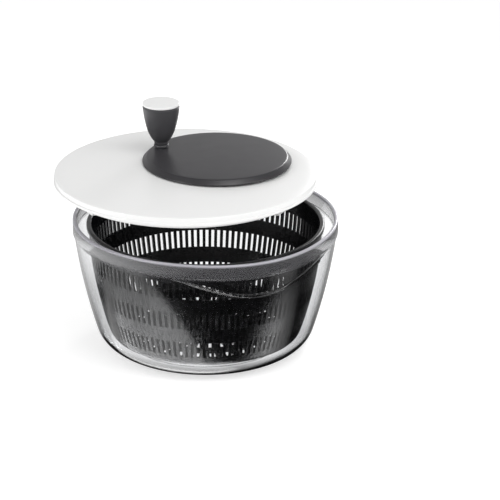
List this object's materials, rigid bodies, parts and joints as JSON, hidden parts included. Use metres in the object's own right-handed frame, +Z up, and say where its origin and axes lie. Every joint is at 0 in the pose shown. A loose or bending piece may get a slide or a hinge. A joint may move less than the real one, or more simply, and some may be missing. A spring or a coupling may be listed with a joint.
{
  "type": "salad spinner",
  "caption": "Hand-cranked salad spinner: clear bowl with a pouring spout, slotted basket spinning inside, and a lid with a geared crank disc and an upright knob, held raised.",
  "frame": {"origin": "centre of the bowl's flat base, on the surface it stands on", "axes": "+Z up along the bowl's axis, +Y away from the user, +X to the user's right"},
  "size_m": [0.2797, 0.2635, 0.2371],
  "materials": {
    "clear_plastic": "polished clear",
    "black_plastic": "satin",
    "white_plastic": "gloss",
    "white_satin": "satin",
    "anthracite_plastic": "satin",
    "grey_plastic": "satin",
    "steel": "bright"
  },
  "bodies": {
    "bowl_body": {"bowl": "clear_plastic", "pivot_pin": "steel"},
    "basket_body": {"basket": "black_plastic", "basket_bush": "grey_plastic"},
    "lid_body": {"lid": "white_plastic", "gear_tray": "white_satin", "spindle_bush": "grey_plastic", "crank_bush": "grey_plastic", "tray_screw_1": "steel", "tray_screw_2": "steel", "tray_screw_3": "steel", "tray_screw_4": "steel", "tray_screw_5": "steel"},
    "drive_body": {"drive_spindle": "steel", "drive_arms": "white_satin", "pinion": "grey_plastic", "pinion_clip": "steel", "spindle_washer": "steel", "arms_screw": "steel"},
    "crank_body": {"crank_disc": "anthracite_plastic", "ring_gear": "white_satin", "crank_axle": "steel", "crank_washer": "steel", "crank_screw": "steel", "knob_post": "steel", "knob_collar": "anthracite_plastic", "knob_washer": "steel", "knob_screw": "steel"},
    "knob": {"knob_body": "anthracite_plastic", "knob_sleeve": "grey_plastic", "knob_cap": "white_plastic"}
  },
  "joints": [
    {"name": "lid_lift", "type": "slide", "parent": "bowl_body", "child": "lid_body", "axis": [-0.4566, 0, 0.8897], "range_m": [-0.0427, 0.1]},
    {"name": "basket_spin", "type": "hinge", "parent": "bowl_body", "child": "basket_body", "pos_m": [0, 0, 0.013], "axis": [0, 0, 1], "continuous": true},
    {"name": "crank_spin", "type": "hinge", "parent": "lid_body", "child": "crank_body", "pos_m": [0.01136, 0.01854, 0.18], "axis": [0, 0, 1], "continuous": true},
    {"name": "drive_spin", "type": "hinge", "parent": "lid_body", "child": "drive_body", "pos_m": [-0.0195, 0, 0.165], "axis": [0, 0, 1], "continuous": true},
    {"name": "knob_spin", "type": "hinge", "parent": "crank_body", "child": "knob", "pos_m": [-0.04387, 0.04199, 0.2], "axis": [0, 0, 1], "continuous": true}
  ],
  "couplings": [
    {"joint": "drive_spin", "follows": "crank_spin", "ratio": 4},
    {"joint": "basket_spin", "follows": "crank_spin", "ratio": 4}
  ]
}
